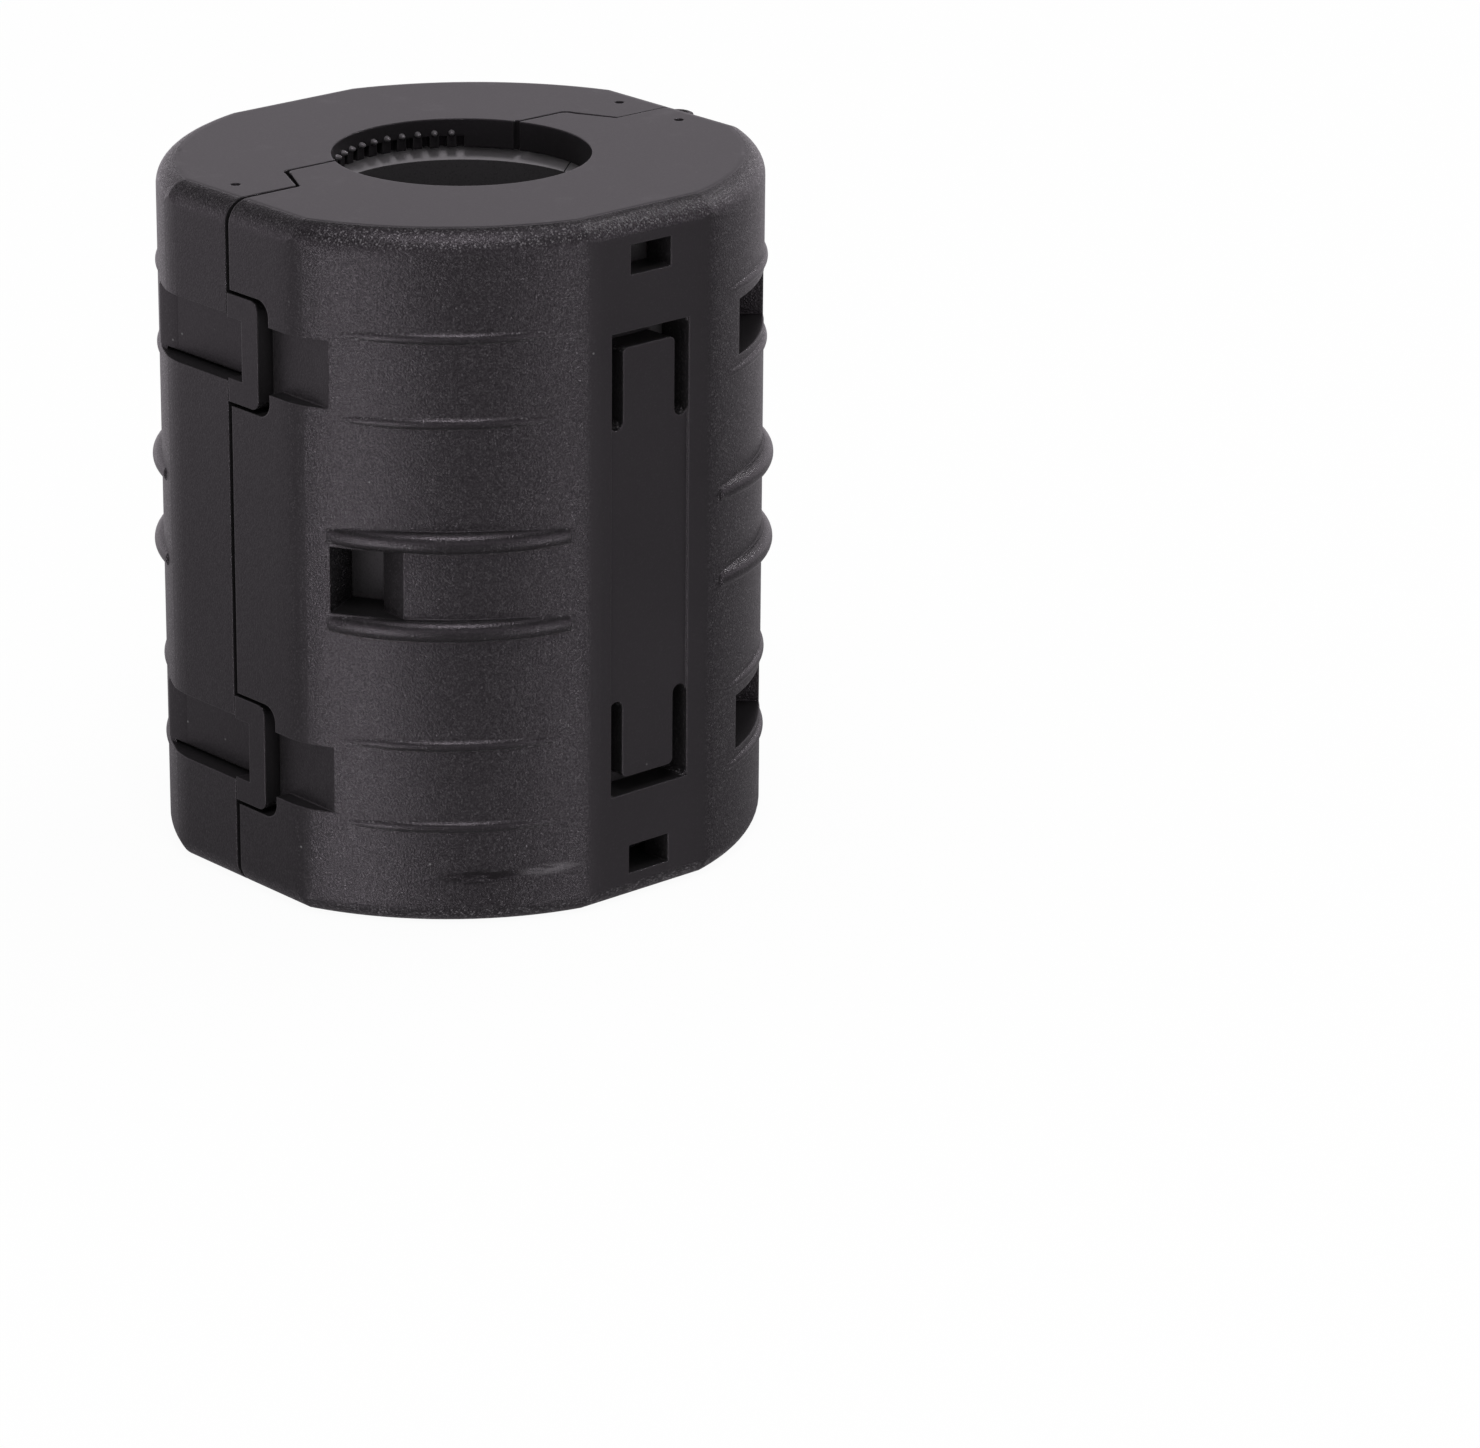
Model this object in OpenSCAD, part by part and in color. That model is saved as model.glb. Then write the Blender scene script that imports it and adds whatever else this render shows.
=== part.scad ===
/* Clip-on ferrite bead: a two-part snap case round a split ferrite ring.
   The bore runs along Z, the case stands on its lower end, and the ring
   is split at the plane Y = 0. The front half of the case lies at -Y and
   ends at that plane, and the rear half stops a small gap behind it. The
   film hinge is on the +X flat and the two snap latches are on the -X flat. */

/* [Core] */
// Diameter of the cable bore through the case ends
bore_d = 13; // [9:0.5:16]
// Thickness of the ferrite ring from its bore to its outside
core_wall = 5.8; // [4:0.1:8]
// Length of the ferrite ring
core_len = 32.3; // [28:0.1:40]
// How much wider the ferrite bore is than the cable bore, all round
core_step = 0.2; // [0.1:0.05:0.6]
// Chamfer on the ring's end edges
core_chamfer = 0.6; // [0.2:0.1:1]
// Clearance between the ring and the case, all round
core_fit = 0.1; // [0.05:0.05:0.3]
// Gap between the two ground faces of the ring
core_face_gap = 0.06; // [0.02:0.02:0.2]

/* [Case] */
// Wall at the latch and hinge flats
side_wall = 2.05; // [1.8:0.05:3]
// Wall at the two panel flats
face_wall = 1.7; // [1.4:0.1:2.4]
// Wall under the rounding, at the middle of each half
lobe_wall = 2.2; // [1.9:0.1:3]
// How far the centre of each half's rounding lies past the parting plane
lobe_shift = 1; // [0.6:0.1:1.6]
// Thickness of the end walls
end_wall = 1.5; // [1.3:0.1:2.5]
// Rounding of the end edges
end_round = 1.2; // [0.6:0.1:1.3]
// Gap that the rear half leaves behind the parting plane, at the latches
part_gap = 0.3; // [0.1:0.05:0.4]
// The same gap at the hinge
hinge_gap = 0.06; // [0.04:0.02:0.2]
// Radius that softens the edges of the latch and hinge flats
side_soft = 6; // [3:0.5:8]
// Radius that softens the edges of the panel flats
face_soft = 10; // [5:0.5:14]

/* [Grip ribs] */
// Distance of the thick ribs from the middle of the length
thick_rib_z = 2.25; // [2:0.05:3]
// Rise of the thick ribs at their middle
thick_rib_rise = 0.6; // [0.3:0.1:0.9]
// Radius of the thick ribs' round section
thick_rib_r = 0.55; // [0.4:0.05:0.7]
// Sweep of the thick ribs round the case, in degrees
thick_rib_sweep = 45; // [36:1:48]
// Rise of the thick ribs at their blunt ends
thick_rib_tip = 0.12; // [0.04:0.02:0.3]
// Distance of the inner thin ribs from the middle of the length
thin_rib_inner_z = 8.25; // [7.6:0.05:8.6]
// Distance of the outer thin ribs from the middle of the length
thin_rib_outer_z = 12.5; // [12.2:0.05:13.2]
// Rise of the thin ribs at their middle
thin_rib_rise = 0.2; // [0.1:0.05:0.4]
// Radius of the thin ribs' round section
thin_rib_r = 0.3; // [0.2:0.05:0.45]
// Sweep of the thin ribs round the case, in degrees
thin_rib_sweep = 40; // [30:1:46]
// Angle of the ribs' middle from the panel flat's normal
rib_mid_angle = 39.5; // [36:0.5:44]

/* [Panel flats] */
// Width of the sunk strip
strip_w = 5; // [4:0.1:6]
// Depth of the sunk strip
strip_depth = 0.12; // [0.06:0.02:0.4]
// Distance of the strip's ends from the middle of the length
strip_z = 11.95; // [10:0.05:13]
// Width of the slots that free the spring tongues
slot_w = 0.85; // [0.5:0.05:1.1]
// Length of a spring tongue's side slots
slot_len = 4.95; // [3:0.05:6]
// Corner radius of the slots and of the tongues
slot_round = 0.3; // [0.1:0.05:0.4]
// Width of the small holes by the ends
hole_w = 2.6; // [1.5:0.1:4]
// Height of the small holes by the ends
hole_h = 1.5; // [0.8:0.1:2.5]

/* [Latches] */
// Distance of each latch from the middle of the length
latch_z = 10.4; // [9.8:0.05:11]
// Height of the latch head
head_h = 5.5; // [4.5:0.1:6.5]
// How far the head reaches past the parting plane
head_reach = 2.1; // [1.6:0.1:2.6]
// Width of the head's end bar
bar_w = 1.25; // [0.9:0.05:1.6]
// Thickness of the head's arms
arm_t = 1.25; // [0.8:0.05:1.4]
// Clearance round the head
head_fit = 0.2; // [0.1:0.05:0.4]
// Slit between the head's arms and the rear half
head_slit = 0.06; // [0.03:0.01:0.15]
// Open gap at the end of the head
head_end_gap = 0.9; // [0.5:0.1:1.3]
// Corner radius of the head's end
head_round = 0.5; // [0.2:0.1:0.8]
// Corner radius of the notch that takes the head
notch_round = 0.8; // [0.3:0.1:1.2]
// Height of the spring tongue that carries the head
tongue_h = 3.1; // [2:0.1:3.4]
// Clearance beside the tongue
tongue_fit = 0.15; // [0.1:0.05:0.3]
// Depth of the channel over the tongue
channel_depth = 1; // [0.8:0.05:1.1]
// Clearance under the tongue
tongue_lift = 0.15; // [0.1:0.05:0.3]
// Distance of the tongue's root from the parting plane
root_y = 6.2; // [5:0.1:6.5]
// Clearance of the tongue's round root in its seat
root_fit = 0.06; // [0.03:0.01:0.1]
// Clearance between the head and the shoulders that it hooks behind
catch_fit = 0.1; // [0.05:0.05:0.2]
// Height of the lifting pocket in front of the head
pocket_h = 3.4; // [2.4:0.1:4]
// Depth of the lifting pocket
pocket_depth = 0.8; // [0.5:0.1:1.1]

/* [Windows] */
// Height of the hinge-side windows
window_h = 2.9; // [2:0.1:3.4]
// Start angle of the hinge-side windows from the panel flat's normal
window_from = 25; // [22:1:32]
// End angle of the hinge-side windows from the panel flat's normal
window_to = 52; // [44:1:58]
// Height of the window between the thick ribs
mid_window_h = 3.4; // [2.4:0.1:3.6]
// Start angle of that window's ramp from the panel flat's normal
mid_window_ramp = 48; // [46:1:50]
// Start angle of that window's open part
mid_window_from = 52.5; // [51.5:0.5:56]
// End angle of that window
mid_window_to = 61.5; // [59:0.5:63]

/* [End walls] */
// Distance from the axis to the outside of a locating tab at its root
tab_root = 10.2; // [9.4:0.1:11]
// Distance from the axis to the outside of a locating tab at its tip
tab_tip = 9.1; // [8.2:0.1:9.2]
// How far a tab reaches past the parting plane
tab_reach = 2.6; // [1.5:0.1:3.2]
// Corner radius of a tab
tab_round = 0.5; // [0.2:0.1:0.8]
// Clearance round a tab
tab_fit = 0.2; // [0.1:0.05:0.3]
// Radius of the relief beside the hinge-side tabs, at the bore
tab_relief = 0.35; // [0.2:0.05:0.5]
// Number of grip teeth on each half of a bore rim
teeth = 10; // [4:1:12]
// Angle between two teeth
tooth_pitch = 7.8; // [6:0.1:9]
// Width of the gap between two teeth
tooth_gap = 0.4; // [0.2:0.05:0.6]
// Depth of the gaps between the teeth
tooth_depth = 0.45; // [0.2:0.05:0.7]
// Smooth part of the bore rim above the teeth
rim_h = 0.9; // [0.5:0.1:1.1]
// Diameter of the ejector marks on the ends
mark_d = 0.5; // [0.3:0.1:1]
// Depth of the ejector marks
mark_depth = 0.15; // [0.1:0.05:0.5]
// Distance of the ejector marks from the middle, along X
mark_x = 12.4; // [11.5:0.1:13]
// Distance of the ejector marks from the parting plane
mark_y = 2.3; // [1.5:0.1:3]

/* [Film hinge] */
// Thickness of the film
film_t = 0.35; // [0.25:0.05:0.6]
// How far the folded film stands out from the hinge flat
film_bulge = 0.55; // [0.4:0.05:1]
// Depth of the step in each half that takes the film's edge
film_seat = 0.25; // [0.1:0.05:0.5]
// Distance of the film's ends from the case ends
film_inset = 0.4; // [0.2:0.1:4]
// Clearance between the film's edges and their steps
film_fit = 0.02; // [0.01:0.01:0.05]

/* [Hidden] */
$fn = 96;

front = -1;
rear = 1;
case_colour = [0.17, 0.17, 0.18];
core_colour = [0.24, 0.24, 0.25];

bore_r = bore_d / 2;
core_in = bore_r + core_step;
core_r = core_in + core_wall;
cav_r = core_r + core_fit;
cav_len = core_len + 2 * core_fit;
case_len = cav_len + 2 * end_wall;
mid = case_len / 2;
side = cav_r + side_wall;
face = cav_r + face_wall;
lobe_r = cav_r + lobe_shift + lobe_wall;
span = 4 * lobe_r;
// How far a cut runs past the face that it opens
over = 1;
// Share of a full tangent arc's depth that a softened edge loses
soft_share = 0.8;
floor_x = side - channel_depth;
tongue_in = cav_r + tongue_lift;
tongue_t = floor_x - tongue_in;
root_x = (floor_x + tongue_in) / 2;
slot_h = tongue_h + 2 * tongue_fit;
arm_in = side - arm_t;
arm_swing = norm([side - root_x, root_y - part_gap]) + head_slit;
bar_back = -head_reach + bar_w;
notch_h = head_h + 2 * head_fit;
notch_end = -head_reach - head_end_gap;
film_r = film_bulge + film_seat;

// A crescent rib rises at its middle because its ring is off the lobe's centre.
function rib_shift(rise, tip, half) =
    (pow(lobe_r + rise, 2) - pow(lobe_r + tip, 2))
    / (2 * (lobe_r + rise - (lobe_r + tip) * cos(half)));
function rib_radius(rise, tip, half) =
    lobe_r + rise - rib_shift(rise, tip, half);
function rib_half(rise, tip, half) =
    atan2((lobe_r + tip) * sin(half),
          (lobe_r + tip) * cos(half) - rib_shift(rise, tip, half));
function polar(r, a) = [r * cos(a), r * sin(a)];

module round_rect(w, h, r) {
    translate([-w / 2 + r, 0]) square([w - 2 * r, h]);
    translate([-w / 2, r]) square([w, h - 2 * r]);
    for (x = [-w / 2 + r, w / 2 - r], y = [r, h - r])
        translate([x, y]) circle(r);
}

module lobe_profile() {
    square([lobe_r - end_round, case_len]);
    translate([0, end_round]) square([lobe_r, case_len - 2 * end_round]);
    for (y = [end_round, case_len - end_round])
        translate([lobe_r - end_round, y]) circle(end_round);
}

// A block on one side of the parting plane, from a distance outwards
module beyond(half, from) {
    translate([-span / 2, half > 0 ? from : -span - from, -span / 2])
        cube([span, span, span + case_len]);
}

// The rear half's face is a little askew, so that its gap closes at the hinge
module parted(half) {
    lean = half > 0 ? atan((part_gap - hinge_gap) / (2 * side)) : 0;
    translate([side, half > 0 ? hinge_gap : 0, 0]) rotate(-lean)
        translate([-side, 0, 0]) beyond(half, 0);
}

// What a softening arc takes off a long edge; a and b are the two faces' angles
module softened(at, a, b, r) {
    bite = soft_share * r * (1 / cos((b - a) / 2) - 1);
    translate([at[0], at[1], -over]) rotate((a + b) / 2)
        linear_extrude(case_len + 2 * over) difference() {
            translate([-over / 2, -over]) square(2 * over);
            translate([-bite - r, 0]) circle(r);
        }
}

module soft_edges(half) {
    side_edge = [side, sqrt(lobe_r * lobe_r - side * side) - lobe_shift];
    face_edge = [sqrt(lobe_r * lobe_r - pow(face + lobe_shift, 2)), face];
    for (hand = [0, 1]) mirror([hand, 0, 0])
        mirror([0, half > 0 ? 0 : 1, 0]) {
            softened(side_edge, 0,
                     atan2(side_edge[1] + lobe_shift, side), side_soft);
            softened(face_edge, atan2(face + lobe_shift, face_edge[0]), 90,
                     face_soft);
        }
}

module half_block(half) {
    intersection() {
        translate([0, -half * lobe_shift, 0]) rotate_extrude() lobe_profile();
        rotate([90, 0, 0]) linear_extrude(span, center = true)
            round_rect(2 * side, case_len, end_round);
        rotate([90, 0, 90]) linear_extrude(span, center = true)
            round_rect(2 * face, case_len, end_round);
        parted(half);
    }
}

// One crescent rib; hand is 1 towards the hinge and -1 towards the latches
module rib(half, hand, z, rise, tip, r, sweep) {
    around = half * (90 - hand * rib_mid_angle);
    turn = rib_half(rise, tip, sweep / 2);
    ring = rib_radius(rise, tip, sweep / 2);
    translate([0, -half * lobe_shift, z]) rotate(around)
        translate([rib_shift(rise, tip, sweep / 2), 0, 0]) rotate(-turn)
            rotate_extrude(angle = 2 * turn) translate([ring - r, 0]) circle(r);
}

module ribs(half) {
    for (hand = [-1, 1], up = [-1, 1]) {
        rib(half, hand, mid + up * thick_rib_z,
            thick_rib_rise, thick_rib_tip, thick_rib_r, thick_rib_sweep);
        for (z = [thin_rib_inner_z, thin_rib_outer_z])
            rib(half, hand, mid + up * z,
                thin_rib_rise, 0, thin_rib_r, thin_rib_sweep);
    }
}

module cavity() {
    translate([0, 0, end_wall]) cylinder(r = cav_r, h = cav_len);
    translate([0, 0, -over]) cylinder(r = bore_r, h = case_len + 2 * over);
}

// Slot round the end of a spring tongue, drawn for the upper tongue
module tongue_slot() {
    r = slot_round;
    low = strip_z - slot_len + slot_w / 2;
    tongue_w = strip_w - 2 * slot_w;
    tongue_top = strip_z - slot_w;
    difference() {
        union() {
            translate([-strip_w / 2, low]) square([strip_w, strip_z - r - low]);
            translate([-strip_w / 2 + r, low])
                square([strip_w - 2 * r, strip_z - low]);
            for (x = [-1, 1])
                translate([x * (strip_w / 2 - r), strip_z - r]) circle(r);
        }
        translate([-tongue_w / 2, low - over])
            square([tongue_w, tongue_top - r - low + over]);
        translate([-tongue_w / 2 + r, low - over])
            square([tongue_w - 2 * r, tongue_top - low + over]);
        for (x = [-1, 1])
            translate([x * (tongue_w / 2 - r), tongue_top - r]) circle(r);
    }
    for (x = [-1, 1])
        translate([x * (strip_w - slot_w) / 2, low]) circle(d = slot_w);
}

// Sunk strip, tongue slots and end holes of one panel flat
module panel_cuts(half) {
    deep = over + (face_wall + cav_r) / 2;
    rotate(half > 0 ? 180 : 0) translate([0, -face - over, mid]) {
        translate([-strip_w / 2, 0, -strip_z])
            cube([strip_w, over + strip_depth, 2 * strip_z]);
        for (up = [0, 1]) mirror([0, 0, up]) {
            translate([0, deep, 0]) rotate([90, 0, 0])
                linear_extrude(deep) tongue_slot();
            translate([-hole_w / 2, 0, cav_len / 2 - hole_h])
                cube([hole_w, deep, hole_h]);
        }
    }
}

// A wedge through the wall between two angles from the panel flat's normal
module wall_wedge(half, hand, from, to, h) {
    out = lobe_r + 2 * over;
    deep = cav_r - 2 * over;
    rotate(half > 0 ? 180 : 0) mirror([half * hand > 0 ? 1 : 0, 0, 0])
        translate([0, lobe_shift, -h / 2]) linear_extrude(h)
            polygon([polar(deep, from - 90), polar(out, from - 90),
                     polar(out, to - 90), polar(deep, to - 90)]);
}

module hinge_windows(half) {
    for (up = [-1, 1]) translate([0, 0, mid + up * latch_z])
        wall_wedge(half, 1, window_from, window_to, window_h);
}

module mid_window() {
    ramp_r = lobe_r - lobe_wall / 2;
    out = lobe_r + 2 * over;
    translate([0, 0, mid]) {
        wall_wedge(front, -1, mid_window_from, mid_window_to, mid_window_h);
        mirror([1, 0, 0]) translate([0, lobe_shift, -mid_window_h / 2])
            linear_extrude(mid_window_h)
                polygon([polar(lobe_r, mid_window_ramp - 90),
                         polar(out, mid_window_ramp - 90),
                         polar(out, mid_window_to - 90),
                         polar(ramp_r, mid_window_from - 90)]);
    }
}

// Gaps that leave a row of grip teeth below the smooth bore rim
module tooth_gaps(half) {
    for (i = [0 : teeth]) rotate((i - teeth / 2) * tooth_pitch + half * 90) {
        translate([bore_r - over, -tooth_gap / 2, rim_h])
            cube([over + tooth_depth, tooth_gap, end_wall]);
        translate([bore_r - over, -tooth_gap / 2, case_len - rim_h - end_wall])
            cube([over + tooth_depth, tooth_gap, end_wall]);
    }
}

module ejector_marks() {
    for (at = [[-mark_x, mark_y], [mark_x, mark_y], [mark_x, -mark_y]],
         z = [-over, case_len - mark_depth])
        translate([at[0], at[1], z])
            cylinder(d = mark_d, h = over + mark_depth, $fn = 32);
}

// Outline of a locating tab, grown by its clearance for the slot
module tab_outline(fit) {
    tip = tab_tip + fit;
    top = tab_reach + fit;
    r = tab_round;
    start = bore_r - 2 * over;
    polygon([[start, -part_gap], [tab_root + fit, -part_gap],
             [tab_root + fit, 0], [tip, top - r], [tip - r, top],
             [start, top]]);
    translate([tip - r, top - r]) circle(r, $fn = 48);
}

module tabs(fit, h) {
    for (hand = [0, 1], z = [0, case_len - h])
        translate([0, 0, z]) mirror([hand, 0, 0])
            linear_extrude(h) tab_outline(fit);
}

// Outline of the notch that takes a latch head, with the gap at its end
module notch_outline() {
    translate([notch_end + notch_round, -notch_h / 2])
        square([-notch_end, notch_h]);
    translate([notch_end, -notch_h / 2 + notch_round])
        square([2 * notch_round, notch_h - 2 * notch_round]);
    for (z = [-1, 1])
        translate([notch_end + notch_round, z * (notch_h / 2 - notch_round)])
            circle(notch_round);
}

// Notch as deep as the lifting pocket, and the well behind the head, less the
// two shoulders that hold the head
module latch_notch() {
    shoulder_x = arm_in - catch_fit;
    well_end = -head_reach - head_fit;
    translate([-side - over, 0, 0]) rotate([90, 0, 90])
        linear_extrude(over + pocket_depth) notch_outline();
    difference() {
        translate([-side - over, well_end, -notch_h / 2])
            cube([side_wall + 2 * over, over - well_end, notch_h]);
        for (z = [slot_h / 2, -notch_h / 2])
            translate([-shoulder_x, bar_back + catch_fit, z])
                cube([side, over - bar_back, (notch_h - slot_h) / 2]);
    }
    translate([-side - over, notch_end - side / 2, -pocket_h / 2])
        cube([over + pocket_depth, side / 2 + notch_round, pocket_h]);
}

// Channel for a latch tongue, with the round seat of its root
module latch_channel() {
    reach = span / 4;
    translate([-side - over, -over, -slot_h / 2])
        cube([over + channel_depth, reach, slot_h]);
    translate([-side - over, -over, -slot_h / 2])
        cube([over + side - tongue_in + tongue_lift, root_y + over, slot_h]);
    translate([-root_x, root_y, -slot_h / 2])
        cylinder(r = tongue_t / 2 + root_fit, h = slot_h);
}

// Outline of a latch head with its window, seen along X
module head_outline() {
    difference() {
        union() {
            translate([-head_reach + head_round, -head_h / 2])
                square([head_reach, head_h]);
            translate([-head_reach, -head_h / 2 + head_round])
                square([2 * head_round, head_h - 2 * head_round]);
            for (z = [-1, 1])
                translate([-head_reach + head_round,
                           z * (head_h / 2 - head_round)])
                    circle(head_round);
        }
        translate([bar_back, -tongue_h / 2]) square([head_reach, tongue_h]);
    }
}

// T-shaped head on a thin tongue. The backs of its arms lie on a circle
// round the tongue's root, so that they pass the rear half as it lifts.
module latch() {
    color(case_colour) {
        translate([-floor_x, bar_back - bar_w / 2, -tongue_h / 2])
            cube([tongue_t, root_y - bar_back + bar_w / 2, tongue_h]);
        translate([-root_x, root_y, -tongue_h / 2])
            cylinder(d = tongue_t, h = tongue_h);
        difference() {
            translate([-side, 0, 0]) rotate([90, 0, 90])
                linear_extrude(side - tongue_in) head_outline();
            translate([-root_x, root_y, -head_h])
                cylinder(r = arm_swing, h = 2 * head_h);
            translate([-arm_in, bar_back, -head_h])
                cube([side, head_reach, 2 * head_h]);
        }
    }
}

module film_step() {
    translate([side - film_seat - film_fit, -film_r - film_fit, film_inset])
        cube([side, 2 * film_r + 2 * film_fit, case_len - 2 * film_inset]);
}

module core(half) {
    color(core_colour) intersection() {
        translate([0, 0, end_wall + core_fit]) rotate_extrude()
            polygon([[core_in + core_chamfer, 0], [core_r - core_chamfer, 0],
                     [core_r, core_chamfer], [core_r, core_len - core_chamfer],
                     [core_r - core_chamfer, core_len],
                     [core_in + core_chamfer, core_len],
                     [core_in, core_len - core_chamfer],
                     [core_in, core_chamfer]]);
        beyond(half, core_face_gap / 2);
    }
}

module shell_half(half) {
    difference() {
        union() {
            half_block(half);
            ribs(half);
        }
        soft_edges(half);
        cavity();
        panel_cuts(half);
        hinge_windows(half);
        tooth_gaps(half);
        ejector_marks();
        film_step();
    }
}

module front_shell() {
    color(case_colour) {
        difference() {
            shell_half(front);
            mid_window();
            for (up = [-1, 1]) translate([0, 0, mid + up * latch_z])
                latch_notch();
        }
        difference() {
            tabs(0, end_wall);
            cavity();
        }
    }
}

module rear_shell() {
    color(case_colour) difference() {
        shell_half(rear);
        tabs(tab_fit, end_wall + over);
        for (z = [-over, case_len - end_wall - over])
            translate([sqrt(bore_r * bore_r - tab_reach * tab_reach),
                       tab_reach, z])
                cylinder(r = tab_relief, h = end_wall + 2 * over);
        for (up = [-1, 1]) translate([0, 0, mid + up * latch_z])
            latch_channel();
    }
}

module front_core() {
    core(front);
}

module rear_core() {
    core(rear);
}

module hinge_film() {
    color(case_colour) translate([side - film_seat, 0, film_inset])
        linear_extrude(case_len - 2 * film_inset) difference() {
            circle(film_r);
            circle(film_r - film_t);
            translate([-2 * film_r, -film_r]) square(2 * film_r);
        }
}

module upper_latch() {
    translate([0, 0, mid + latch_z]) latch();
}

module lower_latch() {
    translate([0, 0, mid - latch_z]) latch();
}

front_shell();
rear_shell();
front_core();
rear_core();
hinge_film();
upper_latch();
lower_latch();
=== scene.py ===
import math
import random

import bmesh
import bpy
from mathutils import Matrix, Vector


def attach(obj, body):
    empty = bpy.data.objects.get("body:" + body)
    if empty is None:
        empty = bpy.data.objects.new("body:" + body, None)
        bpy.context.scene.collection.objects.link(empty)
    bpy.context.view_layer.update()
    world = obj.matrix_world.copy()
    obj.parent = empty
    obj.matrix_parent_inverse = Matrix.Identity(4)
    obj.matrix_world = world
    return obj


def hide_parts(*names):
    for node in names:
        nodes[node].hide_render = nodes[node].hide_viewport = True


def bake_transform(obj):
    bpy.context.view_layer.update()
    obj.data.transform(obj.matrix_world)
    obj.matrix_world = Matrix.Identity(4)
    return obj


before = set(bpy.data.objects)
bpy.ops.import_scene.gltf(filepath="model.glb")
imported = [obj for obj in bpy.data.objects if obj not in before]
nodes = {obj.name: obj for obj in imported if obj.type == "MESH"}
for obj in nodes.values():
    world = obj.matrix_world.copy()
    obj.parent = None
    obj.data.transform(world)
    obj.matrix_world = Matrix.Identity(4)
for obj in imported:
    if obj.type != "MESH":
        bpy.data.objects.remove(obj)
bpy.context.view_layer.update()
mm = 0.001
tint = 0.945                                  # share of green in the faintly purple black
print("frame loaded:", ", ".join(sorted(nodes)))


# node helpers

def put(tree, kind, inputs=None, **settings):
    node = tree.nodes.new("ShaderNode" + kind)
    for key, value in settings.items():
        setattr(node, key, value)
    for key, value in (inputs or {}).items():
        if isinstance(value, bpy.types.NodeSocket):
            tree.links.new(value, node.inputs[key])
        else:
            node.inputs[key].default_value = value
    return node


def calc(tree, operation, *values):
    return put(tree, "Math", dict(enumerate(values)), operation=operation).outputs[0]


def ramp(tree, value, low, high, toLow=0.0, toHigh=1.0, smooth=True):
    inputs = {"Value": value, "From Min": low, "From Max": high, "To Min": toLow, "To Max": toHigh}
    return put(tree, "MapRange", inputs, interpolation_type="SMOOTHSTEP" if smooth else "LINEAR").outputs[0]


def times(tree, first, *others):
    for other in others:
        first = calc(tree, "MULTIPLY", first, other)
    return first


def distance(tree, first, second):
    squares = calc(tree, "ADD", times(tree, first, first), times(tree, second, second))
    return calc(tree, "SQRT", squares)


def noise(tree, where, scale, detail, roughness=0.5):
    inputs = {"Vector": where, "Scale": scale, "Detail": detail, "Roughness": roughness}
    return put(tree, "TexNoise", inputs).outputs[0]


def project(tree, vector, direction):
    return put(tree, "VectorMath", {0: vector, 1: direction}, operation="DOT_PRODUCT").outputs["Value"]


def blendColour(tree, factor, first, second):
    return put(tree, "Mix", {0: factor, 6: first, 7: second}, data_type="RGBA").outputs[2]


def grey(value, green=1.0):
    return (value, value * green, value, 1.0)


def newGroup(name, inputs, outputs):
    tree = bpy.data.node_groups.new(name, "ShaderNodeTree")
    for title, kind, value in inputs:
        socket = tree.interface.new_socket(title, in_out="INPUT", socket_type="NodeSocket" + kind)
        socket.default_value = value
    for title, kind in outputs:
        tree.interface.new_socket(title, in_out="OUTPUT", socket_type="NodeSocket" + kind)
    return tree, tree.nodes.new("NodeGroupInput").outputs, tree.nodes.new("NodeGroupOutput").inputs


def useGroup(tree, group, **inputs):
    node = tree.nodes.new("ShaderNodeGroup")
    node.node_tree = group
    for key, value in inputs.items():
        socket = node.inputs[key]
        if isinstance(value, bpy.types.NodeSocket):
            tree.links.new(value, socket)
        else:
            socket.default_value = value
    return node.outputs


# shared effects

grainShape = {
    "detail": 2.0, "rough": 0.6,              # of the fine hills
    "hillFrom": 0.42, "hillFull": 0.6, "hillShare": 0.2,           # tops that show as facets
    "cellEdge": 0.75, "cellCore": 0.15, "cellShare": 0.9, "rarity": 4.0,   # bright facets, and how rare; on the plastic they are painted glints
}


def makeSparkGrain():
    # spark-eroded mould texture: fine hills, with a bright or dull facet in every cell
    tree, given, result = newGroup(
        "sparkGrain",
        [("Pitch", "Float", 0.13 * mm), ("Seed", "Float", 0.0)],
        [("Height", "Float"), ("Facet", "Float")],
    )
    where = put(tree, "TexCoord").outputs["Object"]
    perMetre = calc(tree, "DIVIDE", 1.0, given["Pitch"])
    moved = put(tree, "VectorMath", {0: where, 1: given["Seed"]}, operation="ADD").outputs[0]
    hills = noise(tree, moved, perMetre, grainShape["detail"], grainShape["rough"])
    cells = put(tree, "TexVoronoi", {"Vector": moved, "Scale": perMetre})
    chance = put(tree, "SeparateColor", {0: cells.outputs["Color"]}).outputs[0]
    centre = ramp(tree, cells.outputs["Distance"], grainShape["cellEdge"], grainShape["cellCore"])
    rare = calc(tree, "POWER", chance, grainShape["rarity"])
    bright = times(tree, centre, times(tree, rare, grainShape["cellShare"]))
    tops = ramp(tree, hills, grainShape["hillFrom"], grainShape["hillFull"], 0.0, grainShape["hillShare"])
    tree.links.new(hills, result["Height"])
    tree.links.new(calc(tree, "ADD", bright, tops), result["Facet"])
    return tree


edgeShape = {"samples": 6, "edgeFrom": 0.995, "edgeFull": 0.86}


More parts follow.
